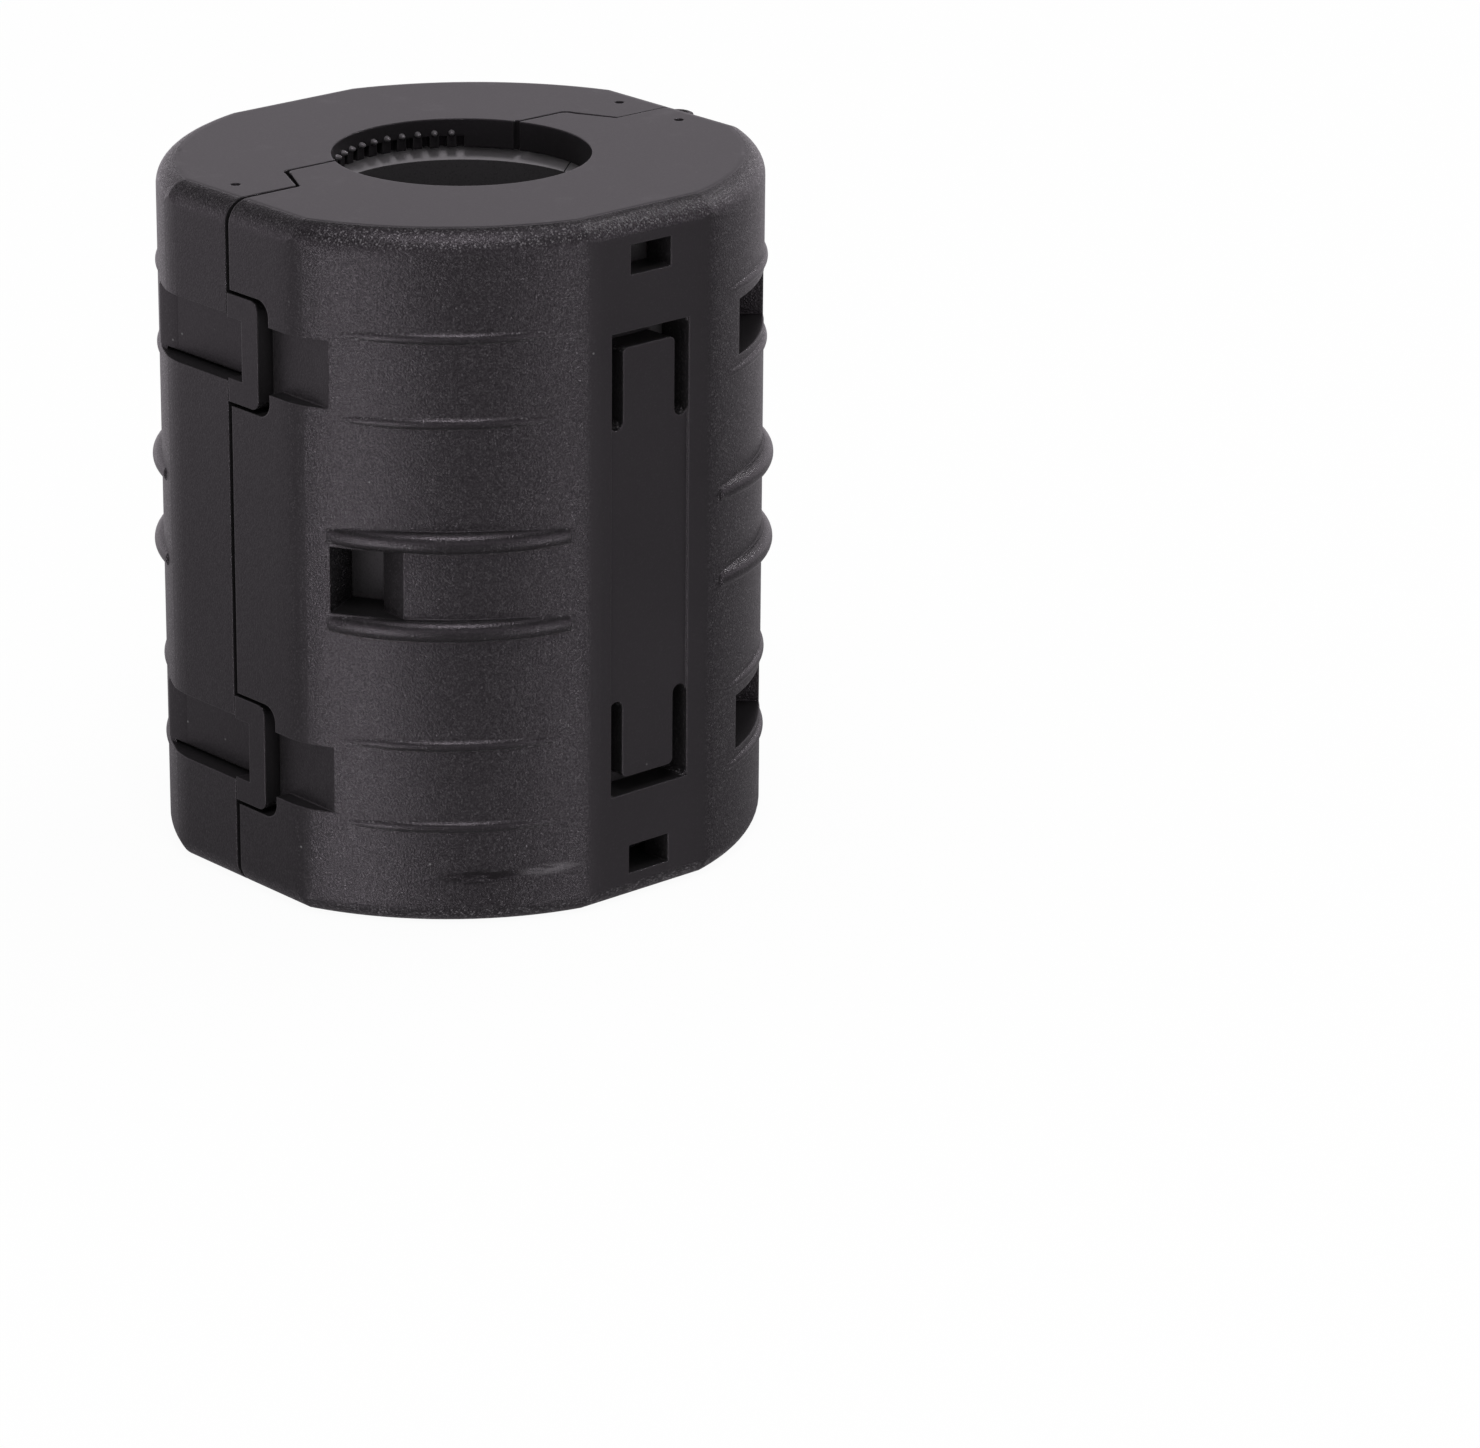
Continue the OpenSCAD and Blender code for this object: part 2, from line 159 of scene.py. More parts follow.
def makeSoftEdges():
    # small mould radius on every edge, and a mask of where it is
    tree, given, result = newGroup(
        "softEdges", [("Radius", "Float", 0.1 * mm)], [("Normal", "Vector"), ("Edge", "Float")]
    )
    rounded = put(tree, "Bevel", {"Radius": given["Radius"]}, samples=edgeShape["samples"]).outputs[0]
    plain = put(tree, "NewGeometry").outputs["Normal"]
    agree = project(tree, rounded, plain)
    tree.links.new(rounded, result["Normal"])
    tree.links.new(ramp(tree, agree, edgeShape["edgeFrom"], edgeShape["edgeFull"]), result["Edge"])
    return tree


handlingShape = {
    "toneScale": 130.0, "toneDetail": 3.0,
    "rubScale": 420.0, "rubDetail": 6.0, "rubRough": 0.7, "rubFrom": 0.56, "rubFull": 0.74,
    "dustScale": 1100.0, "speckEdge": 0.09, "speckCore": 0.03, "rareFrom": 0.93, "rareFull": 0.97,
}


def makeHandling():
    # slow changes of tone from moulding, faint rubbed patches and a little dust
    tree, given, result = newGroup(
        "handling",
        [("Seed", "Float", 0.0)],
        [("Tone", "Float"), ("Rub", "Float"), ("Dust", "Float")],
    )
    where = put(tree, "TexCoord").outputs["Object"]
    moved = put(tree, "VectorMath", {0: where, 1: given["Seed"]}, operation="ADD").outputs[0]
    shape = handlingShape
    slow = noise(tree, moved, shape["toneScale"], shape["toneDetail"])
    patches = noise(tree, moved, shape["rubScale"], shape["rubDetail"], shape["rubRough"])
    specks = put(tree, "TexVoronoi", {"Vector": moved, "Scale": shape["dustScale"]})
    chance = put(tree, "SeparateColor", {0: specks.outputs["Color"]}).outputs[0]
    spot = ramp(tree, specks.outputs["Distance"], shape["speckEdge"], shape["speckCore"])
    rare = ramp(tree, chance, shape["rareFrom"], shape["rareFull"])
    tree.links.new(slow, result["Tone"])
    tree.links.new(ramp(tree, patches, shape["rubFrom"], shape["rubFull"]), result["Rub"])
    tree.links.new(times(tree, spot, rare), result["Dust"])
    return tree


caseShape = {
    "roundRadius": 15.8 * mm, "roundShift": 1.0 * mm,
    "ribStart": 0.03 * mm, "ribFull": 0.12 * mm, "ribSmooth": 0.5,
    "sideFrom": 0.9, "sideFull": 0.995, "sideSmooth": 0.55,        # latch and hinge flats
    "flatFrom": 0.975, "flatFull": 0.99,      # how squarely a panel or an end faces its side
    "panelFrom": 13.4 * mm, "panelFull": 13.8 * mm, "skinFrom": -3.0 * mm, "skinFull": -2.6 * mm,
    "turnFrom": 0.2, "turnFull": 0.45, "turnEnd": 0.99, "turnLast": 0.9,   # rounding of the ends
    "quarterFrom": 4.5 * mm, "quarterFull": 7.0 * mm,
    # faint creases beside the flats: across, deep and half the turn there, as a slope
    "creases": [(14.65 * mm, 4.27 * mm, 0.042), (14.436 * mm, 5.42 * mm, 0.07),
                (3.28 * mm, 14.3 * mm, 0.03), (4.476 * mm, 14.153 * mm, 0.053)],
    "creaseSoft": 0.9 * mm, "grainStart": 3.5 * mm, "grainFull": 4.3 * mm,
}


def makeCaseZones():
    # the rounded quarters are textured, the latch and hinge flats half as much, the panels and ends smooth
    shape = caseShape
    tree, _, result = newGroup(
        "caseZones", [],
        [("Textured", "Float"), ("Rib", "Float"), ("Rounding", "Float"), ("Lost", "Float")],
    )
    place = put(tree, "TexCoord").outputs
    facing = put(tree, "VectorMath", {0: place["Normal"]}, operation="ABSOLUTE").outputs[0]
    fx, fy, fz = put(tree, "SeparateXYZ", {0: facing}).outputs
    side = ramp(tree, fx, shape["sideFrom"], shape["sideFull"], 0.0, shape["sideSmooth"])
    x, y, _ = put(tree, "SeparateXYZ", {0: place["Object"]}).outputs
    across = calc(tree, "ABSOLUTE", x)
    deep = calc(tree, "ABSOLUTE", y)
    besidePanel = ramp(tree, across, shape["grainStart"], shape["grainFull"])
    besidePanel = times(tree, besidePanel, ramp(tree, deep, shape["panelFrom"], shape["panelFull"]))
    panel = calc(tree, "SUBTRACT", ramp(tree, fy, shape["flatFrom"], shape["flatFull"]), besidePanel)
    panel = calc(tree, "MAXIMUM", panel, ramp(tree, fz, shape["flatFrom"], shape["flatFull"]))
    reach = distance(tree, x, calc(tree, "ADD", deep, shape["roundShift"]))
    proud = calc(tree, "SUBTRACT", reach, shape["roundRadius"])
    rib = ramp(tree, proud, shape["ribStart"], shape["ribFull"])
    outside = ramp(tree, proud, shape["skinFrom"], shape["skinFull"])
    smooth = calc(tree, "MAXIMUM", panel, side)
    smooth = calc(tree, "MAXIMUM", smooth, times(tree, rib, shape["ribSmooth"]))
    tree.links.new(times(tree, calc(tree, "SUBTRACT", 1.0, smooth), outside), result["Textured"])
    tree.links.new(rib, result["Rib"])
    turning = ramp(tree, fz, shape["turnFrom"], shape["turnFull"])
    turning = times(tree, turning, ramp(tree, fz, shape["turnEnd"], shape["turnLast"]))
    turning = times(tree, turning, ramp(tree, deep, shape["quarterFrom"], shape["quarterFull"]))
    tree.links.new(times(tree, turning, calc(tree, "SUBTRACT", outside, rib)), result["Rounding"])
    # height that a soft crease lacks against a sharp one
    lost = 0.0
    for creaseX, creaseY, slope in shape["creases"]:
        far = distance(tree, calc(tree, "SUBTRACT", across, creaseX), calc(tree, "SUBTRACT", deep, creaseY))
        near = calc(tree, "MAXIMUM", calc(tree, "SUBTRACT", shape["creaseSoft"], far), 0.0)
        amount = times(tree, near, near, slope / (2 * shape["creaseSoft"]))
        lost = calc(tree, "ADD", lost, amount)
    tree.links.new(lost, result["Lost"])
    return tree


sparkGrain = makeSparkGrain()
softEdges = makeSoftEdges()
handling = makeHandling()
caseZones = makeCaseZones()
print("shared effects ready")


# moulded plastic of the case, the latches and the film

def mouldedPlastic(name, look):
    material = bpy.data.materials.new(name)
    material.use_nodes = True
    tree = material.node_tree
    skin = tree.nodes["Principled BSDF"]
    zones = useGroup(tree, caseZones)
    grain = useGroup(tree, sparkGrain, Pitch=look["grainPitch"], Seed=look["seed"])
    edges = useGroup(tree, softEdges, Radius=look["edgeRadius"])
    marks = useGroup(tree, handling, Seed=look["seed"])

    textured = zones["Textured"]
    tone = ramp(tree, marks["Tone"], *look["toneLimits"], smooth=False)
    facets = ramp(tree, textured, 0.0, 1.0, look["smoothFacets"], look["facets"])
    facets = times(tree, grain["Facet"], facets)
    # painted highlight: the grain on the rounded ends is painted lighter, as sparkle
    paintedSparkle = ramp(tree, grain["Facet"], look["sparkleFrom"], look["sparkleFull"])
    paintedSparkle = times(tree, zones["Rounding"], paintedSparkle)
    # painted highlight: a lighter tone painted along every edge, standing in for the light that the small
    # edge radius catches
    edgeHighlight = times(tree, edges["Edge"], look["edgeHighlightShare"])
    dust = times(tree, marks["Dust"], look["dust"])
    colour = blendColour(tree, tone, grey(look["dark"], tint), grey(look["light"], tint))
    colour = blendColour(tree, textured, colour, grey(look["grainTone"], tint))
    # partly grain, partly painted highlight: the grain's facets are painted lighter, standing in for its
    # glints
    colour = blendColour(tree, facets, colour, grey(look["facetGlintTone"], tint))
    colour = blendColour(tree, paintedSparkle, colour, grey(look["paintedSparkleTone"], tint))
    colour = blendColour(tree, edgeHighlight, colour, grey(look["edgeHighlightTone"], tint))
    colour = blendColour(tree, dust, colour, grey(look["dustTone"]))
    if "scuff" in look:
        dark, pale = scuffMasks(tree, look["scuff"])
        colour = blendColour(tree, dark, colour, grey(look["scuff"]["darkTone"], tint))
        colour = blendColour(tree, pale, colour, grey(look["scuff"]["paleTone"], tint))
    tree.links.new(colour, skin.inputs["Base Color"])

    rough = ramp(tree, textured, 0.0, 1.0, look["flatRough"], look["grainRough"], smooth=False)
    depth = ramp(tree, textured, 0.0, 1.0, look["flatDepth"], look["grainDepth"], smooth=False)
    for mask, gloss in ((marks["Rub"], "rubGloss"), (zones["Rib"], "ribGloss"), (facets, "facetGloss")):
        rough = calc(tree, "SUBTRACT", rough, times(tree, mask, look[gloss]))
    if "scuff" in look:
        rough = ramp(tree, dark, 0.0, 1.0, rough, look["scuff"]["darkRough"], smooth=False)
        depth = times(tree, depth, calc(tree, "SUBTRACT", 1.0, dark))
    tree.links.new(rough, skin.inputs["Roughness"])

    height = times(tree, grain["Height"], depth)
    height = calc(tree, "SUBTRACT", height, times(tree, zones["Lost"], look["creases"]))
    bump = put(tree, "Bump", {"Height": height, "Normal": edges["Normal"], "Distance": 1.0})
    tree.links.new(bump.outputs[0], skin.inputs["Normal"])
    skin.inputs["Specular IOR Level"].default_value = look["shine"]
    skin.inputs["Specular Tint"].default_value = grey(1.0, tint ** 2)
    return material


def scuffMasks(tree, scuff):
    # a rubbed smear low on the front curve: a dark spot running into a pale streak
    place = put(tree, "TexCoord").outputs["Object"]
    streaks = put(tree, "Mapping", {"Vector": place, "Scale": scuff["streaks"]}).outputs[0]
    broken = noise(tree, streaks, 1.0, scuff["detail"], scuff["ragged"])
    patchy = ramp(tree, broken, scuff["patchFrom"], scuff["patchFull"])
    y = put(tree, "SeparateXYZ", {0: place}).outputs[1]
    front = ramp(tree, y, scuff["frontFrom"], scuff["frontFull"])
    masks = []
    for key in ("dark", "pale"):
        spot = scuff[key]
        offset = put(tree, "VectorMath", {0: place, 1: spot["at"]}, operation="SUBTRACT").outputs[0]
        along = project(tree, offset, spot["along"])
        up = put(tree, "SeparateXYZ", {0: offset}).outputs[2]
        across = calc(tree, "SUBTRACT", up, times(tree, along, spot["rise"]))
        along = calc(tree, "DIVIDE", along, spot["length"] / 2)
        across = calc(tree, "DIVIDE", across, spot["width"] / 2)
        near = ramp(tree, distance(tree, along, across), 1.0, scuff["core"])
        masks.append(times(tree, near, front, times(tree, patchy, spot["strength"])))
    return masks


caseLook = {
    "dark": 0.007, "light": 0.009,            # base tone of the black plastic
    "grainTone": 0.0025,                      # and between the facets of the grain
    "grainPitch": 0.1 * mm, "grainDepth": 0.034 * mm, "flatDepth": 0.004 * mm,
    "facets": 1.0, "smoothFacets": 0.15, "facetGlintTone": 0.052, "facetGloss": 0.2,
    "grainRough": 0.38, "flatRough": 0.38, "rubGloss": 0.04, "ribGloss": 0.06,
    # the edge tone below is a painted highlight along every edge
    "edgeRadius": 0.12 * mm, "edgeHighlightShare": 0.45, "edgeHighlightTone": 0.035,
    "sparkleFrom": 0.1, "sparkleFull": 0.7, "paintedSparkleTone": 0.1,   # painted sparkle: the grain on the rounded ends painted lighter, as glints
    "toneLimits": (0.3, 0.7), "dust": 0.3, "dustTone": 0.32, "shine": 0.4, "seed": 0.0,
    "creases": 1.0,                           # how far the creases beside the flats are softened
}
scuffLook = {
    "darkTone": 0.004, "darkRough": 0.12, "paleTone": 0.085, "core": 0.2,
    "streaks": (900.0, 900.0, 5200.0), "detail": 4.0, "ragged": 0.65, "patchFrom": 0.36, "patchFull": 0.56,
    "frontFrom": -9.0 * mm, "frontFull": -10.0 * mm,
    "dark": {"at": (-8.9 * mm, -12.05 * mm, 2.6 * mm), "along": (0.79, -0.61, 0.0), "rise": 0.02,
             "length": 5.6 * mm, "width": 1.1 * mm, "strength": 1.0},
    "pale": {"at": (-5.9 * mm, -13.6 * mm, 2.75 * mm), "along": (0.9, -0.43, 0.0), "rise": 0.05,
             "length": 4.2 * mm, "width": 0.75 * mm, "strength": 0.6},
}
frontLook = {**caseLook, "scuff": scuffLook}
rearLook = {**caseLook, "seed": 0.37}
latchLook = {**caseLook, "seed": 0.71, "facets": 0.7, "grainDepth": 0.014 * mm, "creases": 0.0}

finishes = {
    "front_shell": mouldedPlastic("caseFrontPlastic", frontLook),
    "rear_shell": mouldedPlastic("caseRearPlastic", rearLook),
    "upper_latch": mouldedPlastic("latchUpperPlastic", latchLook),
    "lower_latch": mouldedPlastic("latchLowerPlastic", {**latchLook, "seed": 0.9}),
}
print("plastic finishes ready")


# ferrite of the split ring

ferriteLook = {
    "dark": 0.03, "light": 0.055, "pores": 0.015, "chip": 0.09, "lines": 0.1,
    # the pale chamfer tone is a painted highlight on the bore chamfers
    "poreShare": 0.6, "chamferHighlight": 0.34, "chamferInside": 9.0 * mm,
    "grainPitch": 0.09 * mm, "grainDepth": 0.012 * mm,
    "groundPitch": 0.05 * mm, "groundStretch": 60.0, "groundDetail": 3.0, "grooveDepth": 0.004 * mm,
    "rough": 0.5, "groundRough": 0.32, "edgeRadius": 0.1 * mm, "shine": 0.16, "seed": 0.11,
    # limits of the masks, some with the values that they lead to
    "groundFacing": (0.985, 0.997), "mating": (0.4 * mm, 0.2 * mm), "slant": [(0.6, 0.68), (0.82, 0.74)],
    "scratches": (0.5, 0.75, 0.0, 0.6), "chamferHighlightPatches": (0.3, 0.7, 0.6, 1.0), "chips": (0.42, 0.62, 0.15, 0.8),
    "roughSpread": (0.3, 0.7, -0.06, 0.06),
}


def sinteredFerrite(name, look):
    material = bpy.data.materials.new(name)
    material.use_nodes = True
    tree = material.node_tree
    skin = tree.nodes["Principled BSDF"]
    grain = useGroup(tree, sparkGrain, Pitch=look["grainPitch"], Seed=look["seed"])
    edges = useGroup(tree, softEdges, Radius=look["edgeRadius"])
    marks = useGroup(tree, handling, Seed=look["seed"])
    place = put(tree, "TexCoord").outputs

    # the two mating faces are ground, with fine lines along the ring
    facing = put(tree, "VectorMath", {0: place["Normal"]}, operation="ABSOLUTE").outputs[0]
    _, fy, fz = put(tree, "SeparateXYZ", {0: facing}).outputs
    x, y, _ = put(tree, "SeparateXYZ", {0: place["Object"]}).outputs
    mating = ramp(tree, calc(tree, "ABSOLUTE", y), *look["mating"])
    ground = times(tree, ramp(tree, fy, *look["groundFacing"]), mating)
    stretch = (1 / look["groundPitch"], look["groundStretch"], look["groundStretch"])
    lines = put(tree, "Mapping", {"Vector": place["Object"], "Scale": stretch}).outputs[0]
    scratch = noise(tree, lines, 1.0, look["groundDetail"])
    # the chamfers of the bore are painted pale, in patches: a painted highlight
    chamferHighlight = calc(tree, "LESS_THAN", distance(tree, x, y), look["chamferInside"])
    for limits in look["slant"]:
        chamferHighlight = times(tree, chamferHighlight, ramp(tree, fz, *limits))

    colour = blendColour(tree, grain["Height"], grey(look["dark"], tint), grey(look["light"], tint))
    colour = blendColour(tree, times(tree, grain["Facet"], look["poreShare"]), colour, grey(look["pores"]))
    scratched = times(tree, ground, ramp(tree, scratch, *look["scratches"]))
    colour = blendColour(tree, scratched, colour, grey(look["lines"], tint))
    amount = times(tree, chamferHighlight, ramp(tree, marks["Tone"], *look["chamferHighlightPatches"]))
    colour = blendColour(tree, amount, colour, grey(look["chamferHighlight"], tint))
    chipped = times(tree, edges["Edge"], ramp(tree, marks["Tone"], *look["chips"]))
    colour = blendColour(tree, chipped, colour, grey(look["chip"], tint))
    tree.links.new(colour, skin.inputs["Base Color"])

    rough = ramp(tree, ground, 0.0, 1.0, look["rough"], look["groundRough"], smooth=False)
    rough = calc(tree, "ADD", rough, ramp(tree, marks["Tone"], *look["roughSpread"]))
    tree.links.new(rough, skin.inputs["Roughness"])
    pits = times(tree, grain["Height"], look["grainDepth"])
    grooves = times(tree, scratch, ground, look["grooveDepth"])
    height = calc(tree, "ADD", pits, grooves)
    bump = put(tree, "Bump", {"Height": height, "Normal": edges["Normal"], "Distance": 1.0})
    tree.links.new(bump.outputs[0], skin.inputs["Normal"])
    skin.inputs["Specular IOR Level"].default_value = look["shine"]
    skin.inputs["Specular Tint"].default_value = grey(1.0, tint ** 2)
    return material


finishes["front_core"] = sinteredFerrite("ferriteFront", ferriteLook)
finishes["rear_core"] = sinteredFerrite("ferriteRear", {**ferriteLook, "seed": 0.53})
for nodeName, finish in finishes.items():
    nodes[nodeName].data.materials.clear()
    nodes[nodeName].data.materials.append(finish)
print("ferrite finishes ready")


# making of the small pieces

def finishPiece(name, work, sharpAngle=40):
    mesh = bpy.data.meshes.new(name)
    bmesh.ops.recalc_face_normals(work, faces=work.faces)
    for face in work.faces:
        face.smooth = True
    work.to_mesh(mesh)
    work.free()
    mesh.set_sharp_from_angle(angle=math.radians(sharpAngle))
    piece = bpy.data.objects.new(name, mesh)
    bpy.context.scene.collection.objects.link(piece)
    return piece


# film hinge: the folded strip between the two halves

film = {
    "centreX": 14.4 * mm, "outer": 0.8 * mm, "inner": 0.45 * mm,
    "thinning": 0.09 * mm,                    # how much thinner the web is at its fold
    "foldSharp": 6, "outerShare": 0.3, "innerShare": 0.7,          # how close to the fold, and on which side
    "low": 0.4 * mm, "high": 35.1 * mm, "endRound": 0.12 * mm, "endStep": 0.3,
    "around": 28, "along": 90, "bendFrom": -0.5 * mm, "bendTo": 0.5 * mm,
}


def makeFilm():
    work = bmesh.new()
    levels = [film["low"], film["low"] + film["endRound"] * film["endStep"], film["low"] + film["endRound"]]
    steps = film["along"]
    first, last = levels[-1], film["high"] - film["endRound"]
    levels += [first + (last - first) * i / steps for i in range(1, steps + 1)]
    levels += [film["high"] - film["endRound"] * film["endStep"], film["high"]]
    rings = []
    for z in levels:
        gap = min(z - film["low"], film["high"] - z)
        inset = 1 - min(1.0, gap / film["endRound"])
        shrink = film["endRound"] * (1 - math.sqrt(max(0.0, 1 - inset ** 2)))
        ring = []
        for side in (1, -1):
            for i in range(film["around"] + 1):
                turn = math.radians(-90 + 180 * i / film["around"]) * side
                fold = math.cos(turn) ** film["foldSharp"]
                if side > 0:
                    radius = film["outer"] - shrink - film["thinning"] * film["outerShare"] * fold
                else:
                    radius = film["inner"] + shrink + film["thinning"] * film["innerShare"] * fold
                x = film["centreX"] + radius * math.cos(turn)
                ring.append(work.verts.new((x, radius * math.sin(turn), z)))
        rings.append(ring)
    count = len(rings[0])
    for lower, upper in zip(rings, rings[1:]):
        for i in range(count):
            work.faces.new((lower[i], lower[(i + 1) % count], upper[(i + 1) % count], upper[i]))
    for ring, flip in ((rings[0], True), (rings[-1], False)):
        for i in range(film["around"]):
            corners = [ring[i], ring[i + 1], ring[count - 2 - i], ring[count - 1 - i]]
            work.faces.new(corners[::-1] if flip else corners)
    return finishPiece("film_fold", work)


filmLook = {
    **caseLook, "seed": 0.2, "facets": 0.1, "smoothFacets": 0.1, "flatRough": 0.38, "grainRough": 0.4,
    "grainDepth": 0.005 * mm, "edgeRadius": 0.05 * mm,
    "foldTone": 0.11, "foldWidth": (0.34 * mm, 0.05 * mm),
    "foldScale": 1500.0, "foldDetail": 4.0, "foldBreaks": (0.35, 0.7, 0.15, 0.75),
}


def filmPlastic():
    look = filmLook
    material = mouldedPlastic("filmPlastic", look)
    tree = material.node_tree
    skin = tree.nodes["Principled BSDF"]
    # stress-whitened line where the strip folds
    colour = skin.inputs["Base Color"].links[0].from_socket
    place = put(tree, "TexCoord").outputs["Object"]
    y = put(tree, "SeparateXYZ", {0: place}).outputs[1]
    broken = noise(tree, place, look["foldScale"], look["foldDetail"])
    line = ramp(tree, calc(tree, "ABSOLUTE", y), *look["foldWidth"])
    line = times(tree, line, ramp(tree, broken, *look["foldBreaks"]))
    tree.links.new(blendColour(tree, line, colour, grey(look["foldTone"], tint)), skin.inputs["Base Color"])
    return material


filmPiece = makeFilm()
filmPiece.data.materials.append(filmPlastic())
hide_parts("hinge_film")
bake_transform(filmPiece)
print("film hinge ready")


# grip tips: a rounded nub on every tooth of the bore rims

tips = {
    "radius": 6.5 * mm, "reach": 0.3 * mm, "sunk": 0.08 * mm,
    "width": 0.36 * mm, "height": 0.34 * mm, "fromEnd": 0.74 * mm,
    "count": 10, "pitch": 7.8, "length": 35.5 * mm, "rings": 4, "spokes": 12,
}


def addTip(work, angle, end):
    # a dome, made in rings from its top
    outward = Vector((math.cos(angle), math.sin(angle), 0.0))
    sideways = Vector((-outward.y, outward.x, 0.0))
    rings = []
    for k in range(tips["rings"] + 1):
        share = math.sin(math.pi / 2 * k / tips["rings"])
        dome = math.cos(math.pi / 2 * k / tips["rings"])
        radius = tips["radius"] + tips["sunk"] - (tips["reach"] + tips["sunk"]) * dome
        ring = []
        for j in range(tips["spokes"] if k else 1):
            turn = 2 * math.pi * j / tips["spokes"]
            depth = tips["fromEnd"] + math.sin(turn) * share * tips["height"] / 2
            z = tips["length"] - depth if end else depth
            place = outward * radius + sideways * (math.cos(turn) * share * tips["width"] / 2)
            ring.append(work.verts.new((place.x, place.y, z)))
        rings.append(ring)
    for inner, outer in zip(rings, rings[1:]):
        for j in range(tips["spokes"]):
            after = (j + 1) % tips["spokes"]
            corners = [inner[j % len(inner)], outer[j], outer[after]]
            work.faces.new(corners if len(inner) == 1 else corners + [inner[after]])


def makeTips(name, halfTurn):
    work = bmesh.new()
    for end in (False, True):
        for i in range(tips["count"]):
            addTip(work, math.radians((i + 0.5 - tips["count"] / 2) * tips["pitch"] + halfTurn), end)
    return finishPiece(name, work)


# the nubs are painted paler than the case: a painted highlight on their rounded tops
tipLook = {**caseLook, "dark": 0.07, "light": 0.1, "facets": 0.2, "flatRough": 0.32, "grainRough": 0.32,
           "edgeRadius": 0.03 * mm, "shine": 0.5}
for half, turn, seed in (("front", -90.0, 0.15), ("rear", 90.0, 0.45)):
    tipPiece = makeTips(half + "_grip_tips", turn)
    tipPiece.data.materials.append(mouldedPlastic(half + "TipPlastic", {**tipLook, "seed": seed}))
    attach(tipPiece, half + "_half")
print("grip tips ready")


# flash: the ragged sliver of plastic in the parting line beside the hinge, at both ends

flash = {
    "from": 9.6 * mm, "to": 13.3 * mm, "width": 0.055 * mm, "thick": 0.2 * mm, "below": 0.01 * mm,
    "ragged": 0.6, "sink": 0.3, "taper": 0.6, "steps": 70, "length": 35.5 * mm, "seed": 11,
}


def makeFlash():
    chance = random.Random(flash["seed"])
    work = bmesh.new()
    for end in (False, True):
        outer = flash["length"] - flash["below"] if end else flash["below"]
        inner = outer - flash["thick"] if end else outer + flash["thick"]
        rows = []
        for i in range(flash["steps"] + 1):
            x = flash["from"] + (flash["to"] - flash["from"]) * i / flash["steps"]
            reach = flash["width"] * (1 - flash["ragged"] * chance.random() ** 2)
            sink = flash["thick"] * flash["sink"] * chance.random() ** 3 * (-1 if end else 1)
            corners = ((0.0, outer), (reach, outer + sink), (reach * flash["taper"], inner), (0.0, inner))
            rows.append([work.verts.new((x, y, z)) for y, z in corners])
        for first, second in zip(rows, rows[1:]):
            for j in range(len(first)):
                after = (j + 1) % len(first)
                work.faces.new((first[j], second[j], second[after], first[after]))
        work.faces.new(rows[0])
        work.faces.new(rows[-1])
    return finishPiece("parting_flash", work)


flashLook = {**tipLook, "seed": 0.62, "edgeRadius": 0.02 * mm}
flashPiece = makeFlash()
flashPiece.data.materials.append(mouldedPlastic("flashPlastic", flashLook))
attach(flashPiece, "front_half")
print("parting flash ready")


# tongue roots: the skin that runs from the rear half into each latch tongue

roots = {
    "floorX": -13.65 * mm, "from": 7.05 * mm, "to": 5.45 * mm, "rise": 0.03 * mm, "sunk": 0.02 * mm,
    "height": 3.06 * mm, "along": 16, "across": 6,
    "latches": [("upper", 28.15 * mm), ("lower", 7.35 * mm)],
}


def makeRoot(name, middle):
    work = bmesh.new()
    grid = []
    for i in range(roots["along"] + 1):
        t = i / roots["along"]
        x = roots["floorX"] + roots["sunk"] - (roots["rise"] + roots["sunk"]) * math.sin(math.pi * t) ** 0.5
        y = roots["from"] + (roots["to"] - roots["from"]) * t
        shares = [j / roots["across"] - 0.5 for j in range(roots["across"] + 1)]
        grid.append([work.verts.new((x, y, middle + roots["height"] * share)) for share in shares])
    for first, second in zip(grid, grid[1:]):
        for j in range(roots["across"]):
            work.faces.new((first[j], second[j], second[j + 1], first[j + 1]))
    return finishPiece(name, work)


rootLook = {**latchLook, "edgeRadius": 0.02 * mm}
for place, middle in roots["latches"]:
    rootPiece = makeRoot(place + "_root", middle)
    rootPiece.data.materials.append(mouldedPlastic(place + "RootPlastic", rootLook))
    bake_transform(rootPiece)
print("tongue roots ready")


# floor, surroundings and lamps

stage = {
    "floorSize": 3.0, "floorTone": 0.8,
    "floorGlow": 0.95,                        # share of plain white on the floor, over the shaded paper
    "floorMirror": 0.2,                       # level of the floor in glossy surfaces, in front of the bead
    "behind": (0.3, 0.954, 0.0),              # it rises in this direction, in two steps
    "behindSteps": [(-30 * mm, 90 * mm, 0.4), (90 * mm, 250 * mm, 0.45)],
    "wallMirror": 0.8, "wallTop": 18.0,       # the same of the walls, up to this height in degrees
    "gapMirror": 0.06, "gapFrom": 35.0,       # of the dark gap over the walls
    "panelMirror": 0.8, "panelFrom": 55.0, "panelFull": 75.0,   # and of the ceiling panel
    "fill": 0.7,                              # even light from all round
    "mirrorTint": 0.93,                       # share of green in what glossy surfaces show
    "aim": (0.0, 0.0, 18 * mm),
    # the softboxes are tall and reach below the floor, to light the flanks evenly from top to base
    "lamps": [
        # name, degrees round from the front towards the latches, degrees up, distance, width, height, watts
        ("leftSoftbox", 77, -23, 0.6, 0.26, 0.55, 1.5),
        ("rightSoftbox", -9, -23, 0.6, 0.22, 0.55, 0.8),
        ("overhead", 39, 62, 0.6, 0.15, 0.15, 1.2),
        ("hingeSide", 280, 40, 0.7, 0.4, 0.4, 1.2),
    ],
}


